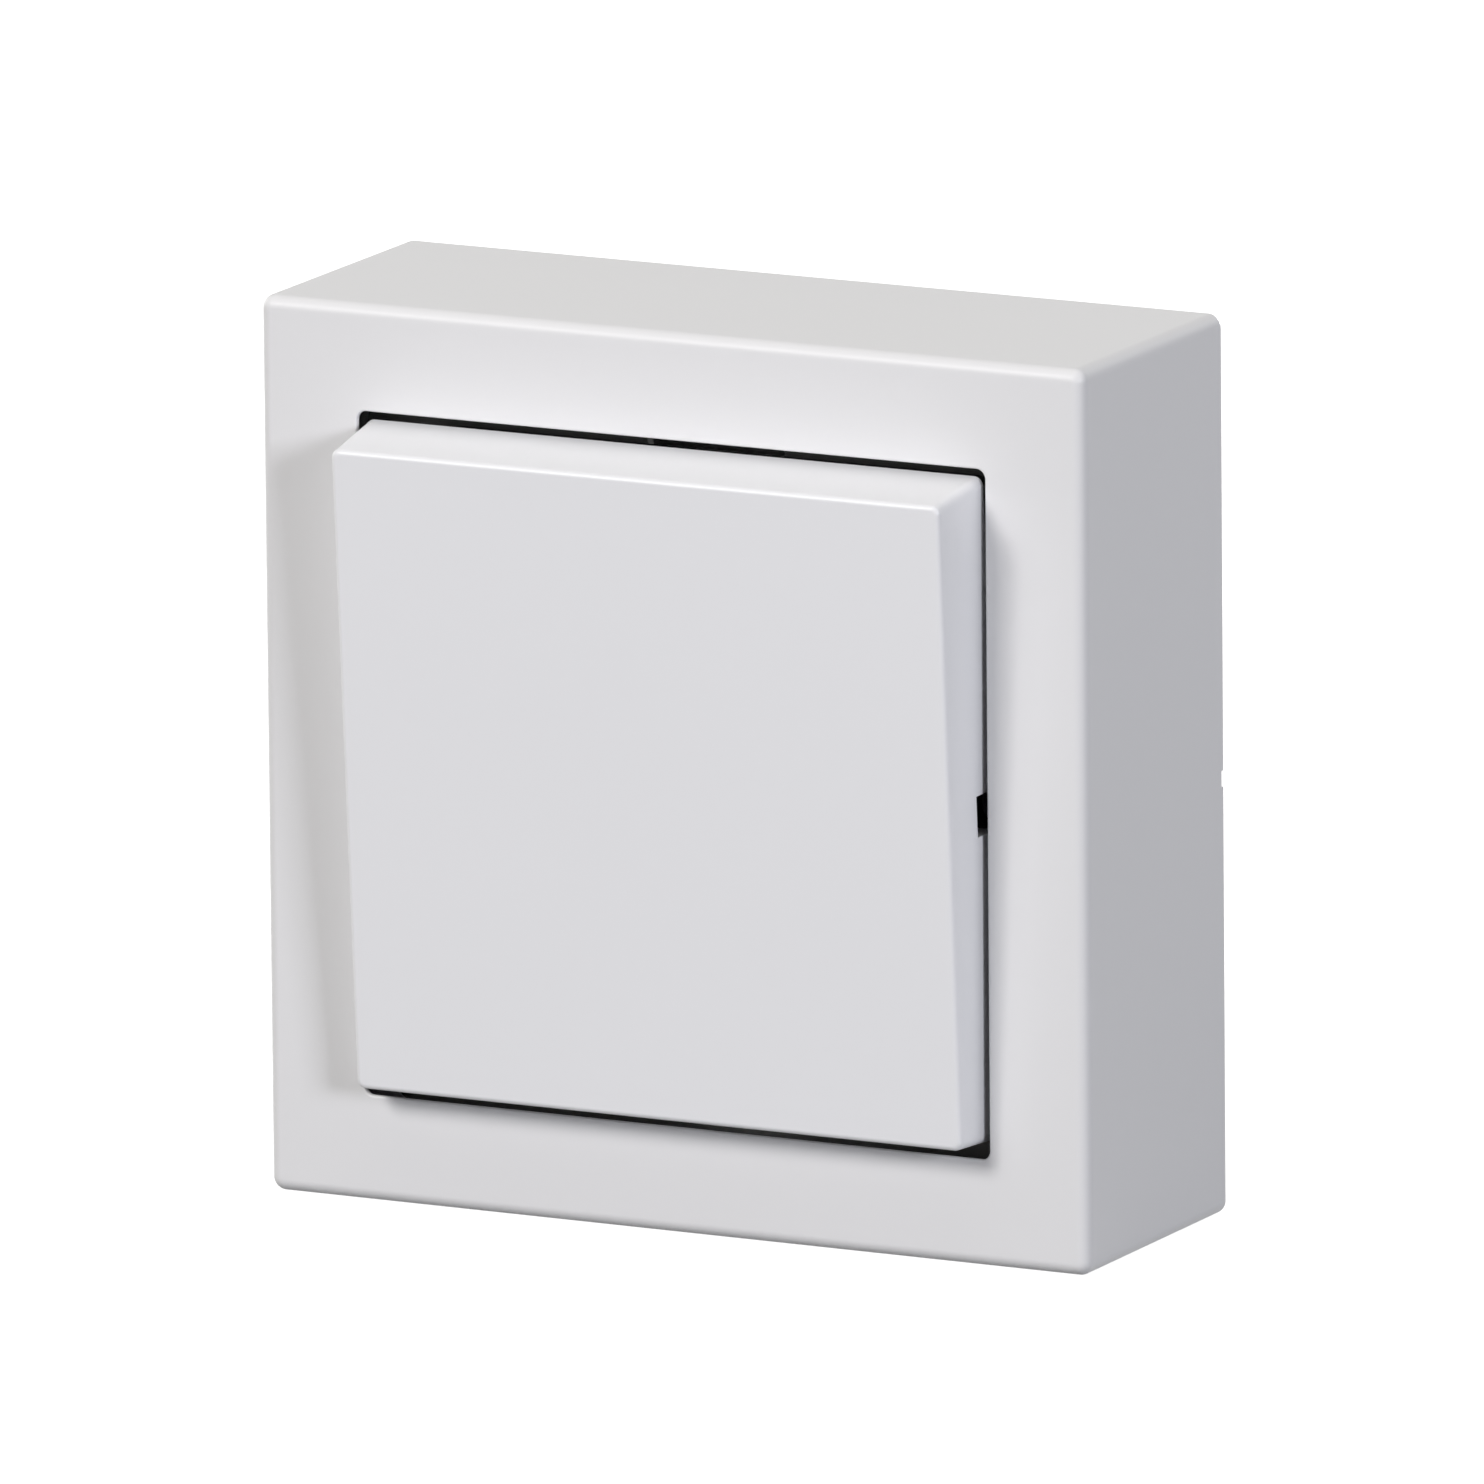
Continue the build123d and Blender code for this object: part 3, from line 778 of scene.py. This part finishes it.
@dataclass
class Rocker:
    """Large tilting key that tapers to its face, with a notch in each side skirt.

    Attributes:
        width: Width of the face, between its sharp edges.
        height: Height of the face, between its sharp edges.
        side_draft: Draft of the side walls in degrees.
        end_draft: Draft of the end walls in degrees, larger so that they clear the opening.
        skirt: Depth of the skirt behind the face.
        wall: Thickness of the skirt and face.
        corner: Radius of the corners between side and end walls.
        inner_corner: Radius of the same corners inside.
        corner_loss: Share of the edge radius that the corners lose towards the face.
        edge_round: Radius of the edges round the face.
        edge_steps: Steps round those edges.
        wall_shares: Rings on the outer walls, as shares of the way from the edge to the rim.
        inner_levels: Rings on the inner walls, below the face.
        inner_border: Distance of the last ring inside from the inner walls.
        face_border: Distance of the last ring on the face from its edge.
        rise: Height of the key's middle above its pivot.
        face: Distance of the face in front of the pivot.
        notch_half: Half height of the notch in the side skirts.
        notch_skirt: Depth of the skirt left above the notch.
        pivot: Line that the key tilts about.
        clips: Legs and ribs behind the face.
    """

    width: float = 61.2
    height: float = 59.8
    side_draft: float = 3.5
    end_draft: float = 6.05
    skirt: float = 8.0
    wall: float = 1.8
    corner: float = 0.9
    inner_corner: float = 0.5
    corner_loss: float = 0.75
    edge_round: float = 0.5
    edge_steps: int = 10
    wall_shares: tuple[float, ...] = (1.0, 0.8, 0.6, 0.4, 0.2, 0.02)
    inner_levels: Triple = (2.6, 4.0, 5.6)
    inner_border: float = 12.0
    face_border: float = 14.0
    rise: float = 0.2
    face: float = 9.3
    notch_half: float = 1.9
    notch_skirt: float = 4.85
    pivot: KeyPivot = KeyPivot()
    clips: ClipSet = ClipSet()

    def section(self, size: float, draft: float) -> tuple[Array, Array]:
        """Section of one kind of wall, from the inside over the skirt to the middle of the face.

        A wall's half size is the face's plus the draft's slope times the distance below the face.
        The arc of the edge has its centre where it touches both the drafted wall and the face.

        Args:
            size: Width or height of the face.
            draft: Draft of the wall in degrees.

        Returns:
            Half size and distance below the face of each ring.
        """
        lean = math.radians(draft)
        centre = size / 2 - self.edge_round * (1 - math.sin(lean)) / math.cos(lean)
        cos, sin = rounded_arc(self.edge_round, draft, 90, self.edge_steps)
        edge, edge_below = centre + cos, self.edge_round - sin
        shares = np.array(self.wall_shares)
        outer_below = edge_below[0] + shares * (self.skirt - edge_below[0])
        outer = size / 2 + outer_below * math.tan(lean)
        inner_below = np.array([self.wall, self.wall, *self.inner_levels, self.skirt])
        inner = size / 2 + inner_below * math.tan(lean) - self.wall
        inner[0] -= self.inner_border
        flat = edge[-1] - np.array([SUPPORT, self.face_border])
        half = np.concatenate([inner, outer, edge, flat])
        return half, np.concatenate([inner_below, outer_below, edge_below, np.zeros(len(flat))])

    def stack(self) -> tuple[RingStack, Array]:
        """Rings of the key from the middle of its inside over the skirt to the middle of its face.

        Returns:
            The rings, and the distance below the face that the notch is drawn up to on each
            ring, which is 0 on rings that the notch leaves alone.
        """
        half_x, below_side = self.section(self.width, self.side_draft)
        half_z, below_end = self.section(self.height, self.end_draft)
        outer, edge = len(self.wall_shares), self.edge_steps + 1
        flat = 2
        inner = len(half_x) - outer - edge - flat
        loss = np.concatenate([np.zeros(outer), np.linspace(0, 1, edge), np.ones(flat)])
        corner = np.concatenate([
            np.full(inner, self.inner_corner),
            self.corner - self.corner_loss * self.edge_round * loss,
        ])
        anchor = np.repeat(
            [self.wall, below_side[inner + outer], 0.0], [inner, outer, edge + flat])
        front = self.pivot.depth + self.face
        notch = self.notch_half
        marks = np.array([-notch - FLANK, -notch, notch, notch + FLANK])
        rings = RingStack(half_x, half_z, corner, front - below_side, front - below_end, marks)
        return rings, anchor[:, None]

    def mesh(self) -> Mesh:
        """Lay out the rings, pull the skirt up at the notches, close both ends and tilt the key.

        In a notch, distances below the anchor shrink evenly until the skirt ends at the notch,
        and the wall's half size follows along its draft.

        Returns:
            Points and faces of the key with its clip legs and ribs.
        """
        rings, anchor = self.stack()
        x, d, z, sides = rings.points()
        front = self.pivot.depth + self.face
        below = front - d
        in_notch = sides & (np.abs(z) < self.notch_half + FLANK / 2) & (anchor > 0)
        shrink = (self.notch_skirt - anchor) / (self.skirt - anchor)
        lifted = np.where(in_notch, anchor + (below - anchor) * shrink, below)
        x = x + np.sign(x) * (lifted - below) * math.tan(math.radians(self.side_draft))
        points = np.stack([x, lifted - front, z + self.rise], -1).reshape(-1, 3)
        key = points, capped_tube(*x.shape)
        points, faces = join_parts([key, *self.clips.blocks(front - self.wall)])
        return self.pivot.turn(points), faces

    def build(self, palette: Palette) -> bpy.types.Object:
        """Make the key, dress it and put it in the place of its solid.

        Args:
            palette: Finishes of the switch.

        Returns:
            The new piece.
        """
        obj = make_object("rocker_key", *self.mesh())
        palette.dress(obj, "white_key")
        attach(obj, Body.KEY.value)
        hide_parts("rocker")
        return obj


@dataclass(frozen=True)
class Terminal:
    """One wire terminal of the insert.

    Attributes:
        name: Name of the terminal.
        button: Body of its release button. Not used.
        side: 1 on the right of the insert and -1 on the left.
        height: Height of its middle.
    """

    name: str
    button: Body
    side: int
    height: float


@dataclass
class Springs:
    """Steel springs of the insert: a coil and three clamp leaves.

    Attributes:
        coil_radius: Radius of the coil's middle line.
        wire: Thickness of the coil's wire.
        wire_sides: Points round the wire.
        turns: Turns of the coil.
        turn_steps: Steps of each turn.
        coil_rear: Distance of the coil's rear end, on the plunger, from the wall.
        coil_front: Distance of the coil's front end, in the bore, from the wall.
        plunger_travel: Slide of the plunger at its limit. Not used.
        leaf_thickness: Thickness of a leaf.
        leaf_width: Width of a leaf.
        leaf_height: Height of the bend above the foot.
        leaf_bend: Inner radius of the bend.
        bend_steps: Steps round the bend.
        leaf_span: Distance of the back leg's outer face from the conductor bar.
        leaf_gap: Distance of the tip from the conductor bar.
        tip_lift: Height of the tip above the foot.
        tip_steps: Steps from the bend to the tip.
        foot: Distance of the foot from the wall.
        bar: Distance of the conductor bars from the middle.
        pivot: Line that the coil tilts about with the key.
        terminals: Terminals that have a leaf.
    """

    coil_radius: float = 1.725
    wire: float = 0.45
    wire_sides: int = 10
    turns: int = 4
    turn_steps: int = 24
    coil_rear: float = 20.6
    coil_front: float = 26.5
    plunger_travel: float = 0.6
    leaf_thickness: float = 0.4
    leaf_width: float = 7.0
    leaf_height: float = 7.5
    leaf_bend: float = 1.2
    bend_steps: int = 16
    leaf_span: float = 5.8
    leaf_gap: float = 0.1
    tip_lift: float = 2.2
    tip_steps: int = 12
    foot: float = 8.6
    bar: float = 11.3
    pivot: KeyPivot = KeyPivot()
    terminals: tuple[Terminal, ...] = (
        Terminal("common", Body.COMMON_BUTTON, -1, 0.0),
        Terminal("upper", Body.UPPER_BUTTON, 1, 11.885),
        Terminal("lower", Body.LOWER_BUTTON, 1, -11.885),
    )

    def coil_mesh(self) -> Mesh:
        """Round wire on a helix.

        A point at turn t and wire angle u lies radius plus half the wire times cos u from the
        middle line, in direction t. Its distance from the wall grows evenly with t, plus half
        the wire times sin u.

        Returns:
            Points and faces.
        """
        steps = self.turn_steps * self.turns + 1
        turn = np.linspace(0, 2 * np.pi * self.turns, steps)[:, None]
        around = np.linspace(0, 2 * np.pi, self.wire_sides, endpoint=False)[None, :]
        half = self.wire / 2
        depth = np.linspace(self.coil_rear + half, self.coil_front - half, steps)[:, None]
        reach = self.coil_radius + half * np.cos(around)
        depth = depth + half * np.sin(around)
        points = np.stack([reach * np.cos(turn), -depth, reach * np.sin(turn)], -1)
        return self.pivot.turn(points.reshape(-1, 3)), capped_tube(*depth.shape)

    def leaf_line(self, radius: float, tip: float) -> tuple[Array, Array]:
        """One face of a leaf from its foot up the back leg, half round the bend and to the tip.

        Args:
            radius: Radius of this face in the bend.
            tip: Distance of this face's tip from the conductor bar.

        Returns:
            Distances from the conductor bar and heights above the foot.
        """
        centre = self.leaf_span - self.leaf_bend - self.leaf_thickness
        across, up = rounded_arc(radius, 0, 180, self.bend_steps)
        share = np.arange(1, self.tip_steps + 1) / self.tip_steps
        leg = centre - radius + (tip - centre + radius) * share
        fall = self.leaf_height + (self.tip_lift - self.leaf_height) * share
        return (np.concatenate([[centre + radius], centre + across, leg]),
                np.concatenate([[0.0], self.leaf_height + up, fall]))

    def leaf_mesh(self, terminal: Terminal) -> Mesh:
        """Flat strip carried along the leaf's line: its two faces joined by straight edges.

        Args:
            terminal: Terminal that the leaf belongs to.

        Returns:
            Points and faces.
        """
        outer_x, outer_z = self.leaf_line(self.leaf_bend + self.leaf_thickness, self.leaf_gap)
        inner_x, inner_z = self.leaf_line(self.leaf_bend, self.leaf_gap + self.leaf_thickness)
        x = terminal.side * (self.bar + np.stack([outer_x, outer_x, inner_x, inner_x], 1))
        y = -(self.foot + np.stack([outer_z, outer_z, inner_z, inner_z], 1))
        across = np.array([-0.5, 0.5, 0.5, -0.5]) * self.leaf_width
        z = np.broadcast_to(terminal.height + across, x.shape)
        return np.stack([x, y, z], -1).reshape(-1, 3), capped_tube(*x.shape)

    def build_coil(self, palette: Palette) -> bpy.types.Object:
        """Make the plunger's coil, which rides on the key.

        Args:
            palette: Finishes of the switch.

        Returns:
            The new piece.
        """
        obj = make_object("plunger_coil", *self.coil_mesh())
        palette.dress(obj, "spring_steel")
        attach(obj, Body.KEY.value)
        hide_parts("plunger_spring")
        ends = np.array([[0.0, -self.coil_rear, 0.0], [0.0, -self.coil_front, 0.0]])
        rear, front = self.pivot.turn(ends)
        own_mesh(obj)
        return obj

    def build_leaf(self, terminal: Terminal, palette: Palette) -> bpy.types.Object:
        """Make one clamp leaf, which stays in place.

        Args:
            terminal: Terminal that the leaf belongs to.
            palette: Finishes of the switch.

        Returns:
            The new piece.
        """
        obj = make_object(f"{terminal.name}_leaf", *self.leaf_mesh(terminal))
        palette.dress(obj, "spring_steel")
        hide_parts(f"{terminal.name}_clamp")
        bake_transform(obj)
        return obj

    def build(self, palette: Palette) -> list[bpy.types.Object]:
        """Make the coil and the leaves, in that order."""
        return [self.build_coil(palette)] + [self.build_leaf(t, palette) for t in self.terminals]


@dataclass
class Mechanism:
    """Wall plate and switch insert, which keep their solids and get their finishes.

    Attributes:
        replaced: Nodes that new surfaces stand for.
    """

    replaced: tuple[str, ...] = (
        "surround", "rocker", "plunger_spring", "common_clamp", "upper_clamp", "lower_clamp")

    def build(self, frame: dict, palette: Palette) -> list[str]:
        """Dress every solid that stays visible with the finish of its own slot.

        Args:
            frame: The loaded frame.
            palette: Finishes of the switch.

        Returns:
            Names of the dressed nodes.
        """
        dressed = []
        for entry in frame["record"]["subparts"]:
            node = entry["node"]
            if node in self.replaced:
                continue
            palette.dress(frame["nodes"][node], entry["material_slot"])
            dressed.append(node)
        return dressed


# Stage


@dataclass(frozen=True)
class SoftBox:
    """A square soft light that faces the switch.

    Attributes:
        name: Name of the lamp.
        azimuth: Direction round the switch in degrees, 0 in front and 90 on the right.
        elevation: Height above the horizon in degrees.
        size: Side of the lamp in metres.
        distance: Distance from the switch in metres.
        power: Radiant power in watts.
        colour: Colour of the light.
    """

    name: str
    azimuth: float
    elevation: float
    size: float
    distance: float
    power: float
    colour: Triple = (1.0, 1.0, 1.0)

    def build(self) -> None:
        """Place the lamp on a sphere round the switch and turn it inwards."""
        lamp = bpy.data.lights.new(self.name, "AREA")
        lamp.shape = "SQUARE"
        lamp.size = self.size
        lamp.energy = self.power
        lamp.color = self.colour
        obj = add_object(self.name, lamp)
        a, e = math.radians(self.azimuth), math.radians(self.elevation)
        away = np.array([math.sin(a) * math.cos(e), -math.cos(a) * math.cos(e), math.sin(e)])
        obj.location = away * self.distance
        obj.rotation_euler = (math.radians(90.0 - self.elevation), 0.0, a)


@dataclass
class Stage:
    """Camera, floor, surrounding light and lamps.

    Attributes:
        camera_place: Place of the camera in metres.
        camera_turn: Turn of the camera about X, Y and Z in degrees.
        lens: Focal length in millimetres.
        sensor: Width of the sensor in millimetres.
        clip: Nearest and farthest distance that the camera sees, in metres.
        floor_level: Height of the floor in metres.
        floor_half: Half side of the floor in metres.
        floor_fibre: Scale, octaves and weight of the finer octaves of the paper's fibres.
        floor_tone: Lowest and highest paleness of the paper.
        floor_glow: Light that the paper adds where it is seen, so that it shows as white.
        floor_bounce: Share of the floor's paleness that lights the switch from below.
        ambient: Strength of the light from all around.
        lamps: Soft lights.
    """

    camera_place: Triple = (1.22183, -2.40470, 0.58327)
    camera_turn: Triple = (77.7656, 0.4956, 26.9668)
    lens: float = 737.78
    sensor: float = 36.0
    clip: tuple[float, float] = (0.01, 50.0)
    floor_level: float = -0.0415
    floor_half: float = 6.0
    floor_fibre: Triple = (60.0, 3.0, 0.5)
    floor_tone: tuple[float, float] = (0.50, 0.54)
    floor_glow: float = 0.93
    floor_bounce: float = 0.36
    ambient: float = 0.02
    lamps: tuple[SoftBox, ...] = (
        SoftBox("key_light", -36.0, 28.5, 0.7, 2.4, 7.6),
        SoftBox("near_light", -25.0, 34.5, 0.7, 2.4, 31.6, (1.0, 0.975, 0.96)),
        SoftBox("side_light", 58.0, 14.0, 0.56, 2.4, 28.6, (0.925, 0.935, 1.0)),
        SoftBox("top_light", 0.0, 85.0, 0.8, 1.2, 2.5, (1.0, 0.98, 0.88)),
        SoftBox("back_light", 180.0, 7.0, 0.3, 1.2, 8.0),
        SoftBox("left_light", -105.0, 12.0, 0.5, 1.2, 3.0),
    )

    def camera(self) -> None:
        """Place the camera at the photograph's viewing angle."""
        data = bpy.data.cameras.new("camera")
        data.sensor_width = self.sensor
        data.lens = self.lens
        data.clip_start, data.clip_end = self.clip
        obj = add_object("camera", data)
        obj.location = self.camera_place
        obj.rotation_euler = tuple(math.radians(a) for a in self.camera_turn)
        bpy.context.scene.camera = obj

    @staticmethod
    def split(space: NodeSpace, unseen: bpy.types.Node,
              seen: bpy.types.Node) -> bpy.types.NodeSocket:
        """Use one shader for the rays that look at the stage and another for all other rays.

        Camera, glossy and transmission rays are those that look at it.

        Args:
            space: Node space to build in.
            unseen: Shader for the rays that only carry light.
            seen: Shader for the rays that look at the stage.

        Returns:
            The mixed shader's socket.
        """
        path = space.add("ShaderNodeLightPath").outputs
        mirror = space.math("MAXIMUM", path["Is Glossy Ray"], path["Is Transmission Ray"])
        looks = space.math("MAXIMUM", path["Is Camera Ray"], mirror)
        feeds = {0: looks, 1: unseen.outputs[0], 2: seen.outputs[0]}
        return space.add("ShaderNodeMixShader", feeds).outputs[0]

    def world(self) -> None:
        """Make the pale surrounding light, which shows as plain white."""
        world = bpy.data.worlds.new("pale_room")
        space = NodeSpace.fresh(world)
        white = (1.0, 1.0, 1.0, 1.0)
        soft = space.add("ShaderNodeBackground", {"Color": white, "Strength": self.ambient})
        plain = space.add("ShaderNodeBackground", {"Color": white})
        space.add("ShaderNodeOutputWorld", {"Surface": self.split(space, soft, plain)})
        bpy.context.scene.world = world

    def floor(self) -> None:
        """Lay a wide plain floor under the switch, pale and with a soft contact shadow."""
        half, level = self.floor_half, self.floor_level
        turns = ((-1, -1), (1, -1), (1, 1), (-1, 1))
        corners = [(sx * half, sy * half, level) for sx, sy in turns]
        mesh = bpy.data.meshes.new("floor")
        mesh.from_pydata(corners, [], [[0, 1, 2, 3]])
        obj = add_object("floor", mesh)
        obj.data.materials.append(self.floor_finish())

    def floor_finish(self) -> bpy.types.Material:
        """Matt paper that looks white where it is seen and throws little light on the switch.

        Returns:
            The floor's material.
        """
        material = bpy.data.materials.new("pale_paper")
        space = NodeSpace.fresh(material)
        place = space.add("ShaderNodeTexCoord").outputs["Object"]
        fibre = space.noise(place, *self.floor_fibre)
        low, high = self.floor_tone
        feeds = {"Value": fibre, "To Min": low, "To Max": high}
        tone = space.add("ShaderNodeMapRange", feeds).outputs["Result"]
        paper = space.add("ShaderNodeBsdfDiffuse", {"Color": tone})
        glow = space.add("ShaderNodeEmission", {"Strength": self.floor_glow})
        white = space.add("ShaderNodeAddShader", {0: paper.outputs[0], 1: glow.outputs[0]})
        bounce = space.math("MULTIPLY", tone, self.floor_bounce)
        dim = space.add("ShaderNodeBsdfDiffuse", {"Color": bounce})
        space.add("ShaderNodeOutputMaterial", {"Surface": self.split(space, dim, white)})
        return material

    def build(self) -> None:
        """Set up camera, surrounding light, floor and lamps."""
        bpy.context.scene.view_settings.view_transform = "Standard"
        self.camera()
        self.world()
        self.floor()
        for lamp in self.lamps:
            lamp.build()


def main() -> None:
    """Load the frame, build every piece in order and report it."""
    logging.basicConfig(level=logging.INFO, format="%(name)s: %(message)s")
    for obj in list(bpy.data.objects):
        bpy.data.objects.remove(obj)
    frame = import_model()
    Stage().build()
    palette = Palette()
    palette.build()
    pieces = [Surround().build(palette), Rocker().build(palette), *Springs().build(palette)]
    for obj in pieces:
        LOG.info("%s: %d faces", obj.name, len(obj.data.polygons))
    dressed = Mechanism().build(frame, palette)
    LOG.info("dressed solids: %s", ", ".join(dressed))


if __name__ == "__main__":
    main()
